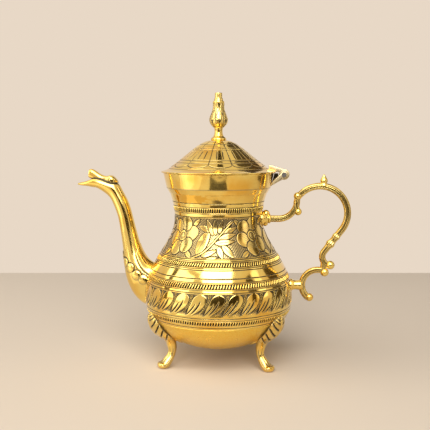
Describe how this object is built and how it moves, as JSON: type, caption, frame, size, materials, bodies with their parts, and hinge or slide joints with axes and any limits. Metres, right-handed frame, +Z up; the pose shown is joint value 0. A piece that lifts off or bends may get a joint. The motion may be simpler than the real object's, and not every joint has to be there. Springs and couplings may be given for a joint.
{
  "type": "footed coffee pot",
  "caption": "Engraved pear-shaped brass pot on cast feet with a bird-beak spout, scroll handle and domed lid on a hinge, for brewing and pouring coffee or tea.",
  "frame": {"origin": "on the floor, under the middle of the overall box of the pot", "axes": "+Z up, -X along the spout, +X along the handle, +Y to the side of the single foot"},
  "size_m": [0.2432, 0.132, 0.2402],
  "materials": {
    "engraved_brass": "polished, with dark patina in the engraved lines",
    "bowl_brass": "satin",
    "cast_brass": "polished casting with dark recesses",
    "hinge_brass": "pale cast",
    "fastener_steel": "dull"
  },
  "bodies": {
    "pot": {"body_shell": "engraved_brass", "base_bowl": "bowl_brass", "rim_collar": "engraved_brass", "spout": "cast_brass", "spout_strainer": "bowl_brass", "handle": "cast_brass", "upper_handle_washer": "bowl_brass", "lower_handle_washer": "bowl_brass", "foot_front_left": "cast_brass", "foot_front_right": "cast_brass", "foot_back": "cast_brass", "hinge_bracket": "hinge_brass", "hinge_pin": "fastener_steel"},
    "lid": {"lid_dome": "engraved_brass", "lid_flange": "bowl_brass", "lid_hinge_strap": "hinge_brass", "finial": "cast_brass", "finial_stud": "fastener_steel", "finial_washer": "fastener_steel", "finial_nut": "fastener_steel"}
  },
  "joints": [
    {"name": "lid_hinge", "type": "hinge", "parent": "pot", "child": "lid", "pos_m": [0.06326, 0, 0.1692], "axis": [0, 1, 0], "range_deg": [0, 105]}
  ]
}
